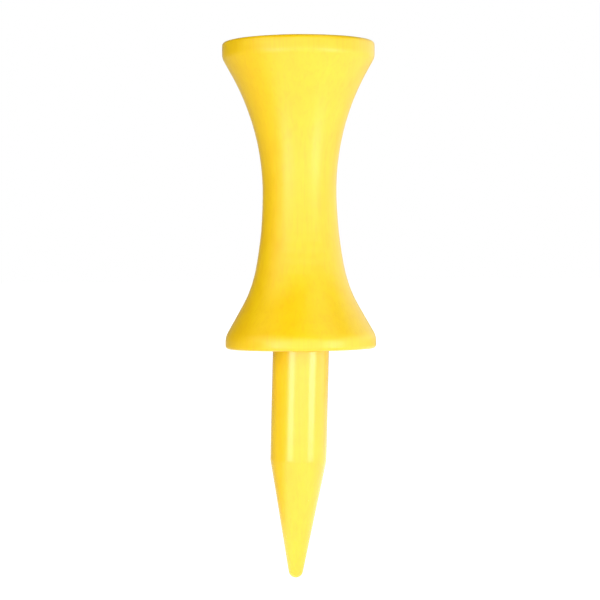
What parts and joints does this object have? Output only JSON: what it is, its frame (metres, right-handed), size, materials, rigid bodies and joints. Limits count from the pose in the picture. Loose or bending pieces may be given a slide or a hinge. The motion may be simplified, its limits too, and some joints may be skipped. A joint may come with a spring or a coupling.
{
  "type": "golf tee",
  "caption": "Waisted wooden castle tee with a dished top, a flange that stops at the turf, and a blunt tapered spike that is glued in, lacquered yellow.",
  "frame": {"origin": "where the spike's axis crosses the plane of the flange's underside, which is turf level when the tee is pushed in", "axes": "+Z along the crown's axis from the flange to the rim; the spike hangs towards -Z and leans 1.8 degrees towards -X; +Y makes the frame right-handed"},
  "size_m": [0.0154, 0.0154, 0.054],
  "materials": {
    "bare_wood": "turned and sanded hardwood, hidden under the lacquer",
    "glue": "dried wood glue",
    "yellow_lacquer": "satin to gloss lacquer, thin enough for the grain to show through"
  },
  "bodies": {
    "root": {"crown": "bare_wood", "spike": "bare_wood", "glue_line": "glue", "lacquer_on_crown": "yellow_lacquer", "lacquer_on_spike": "yellow_lacquer"}
  },
  "joints": []
}
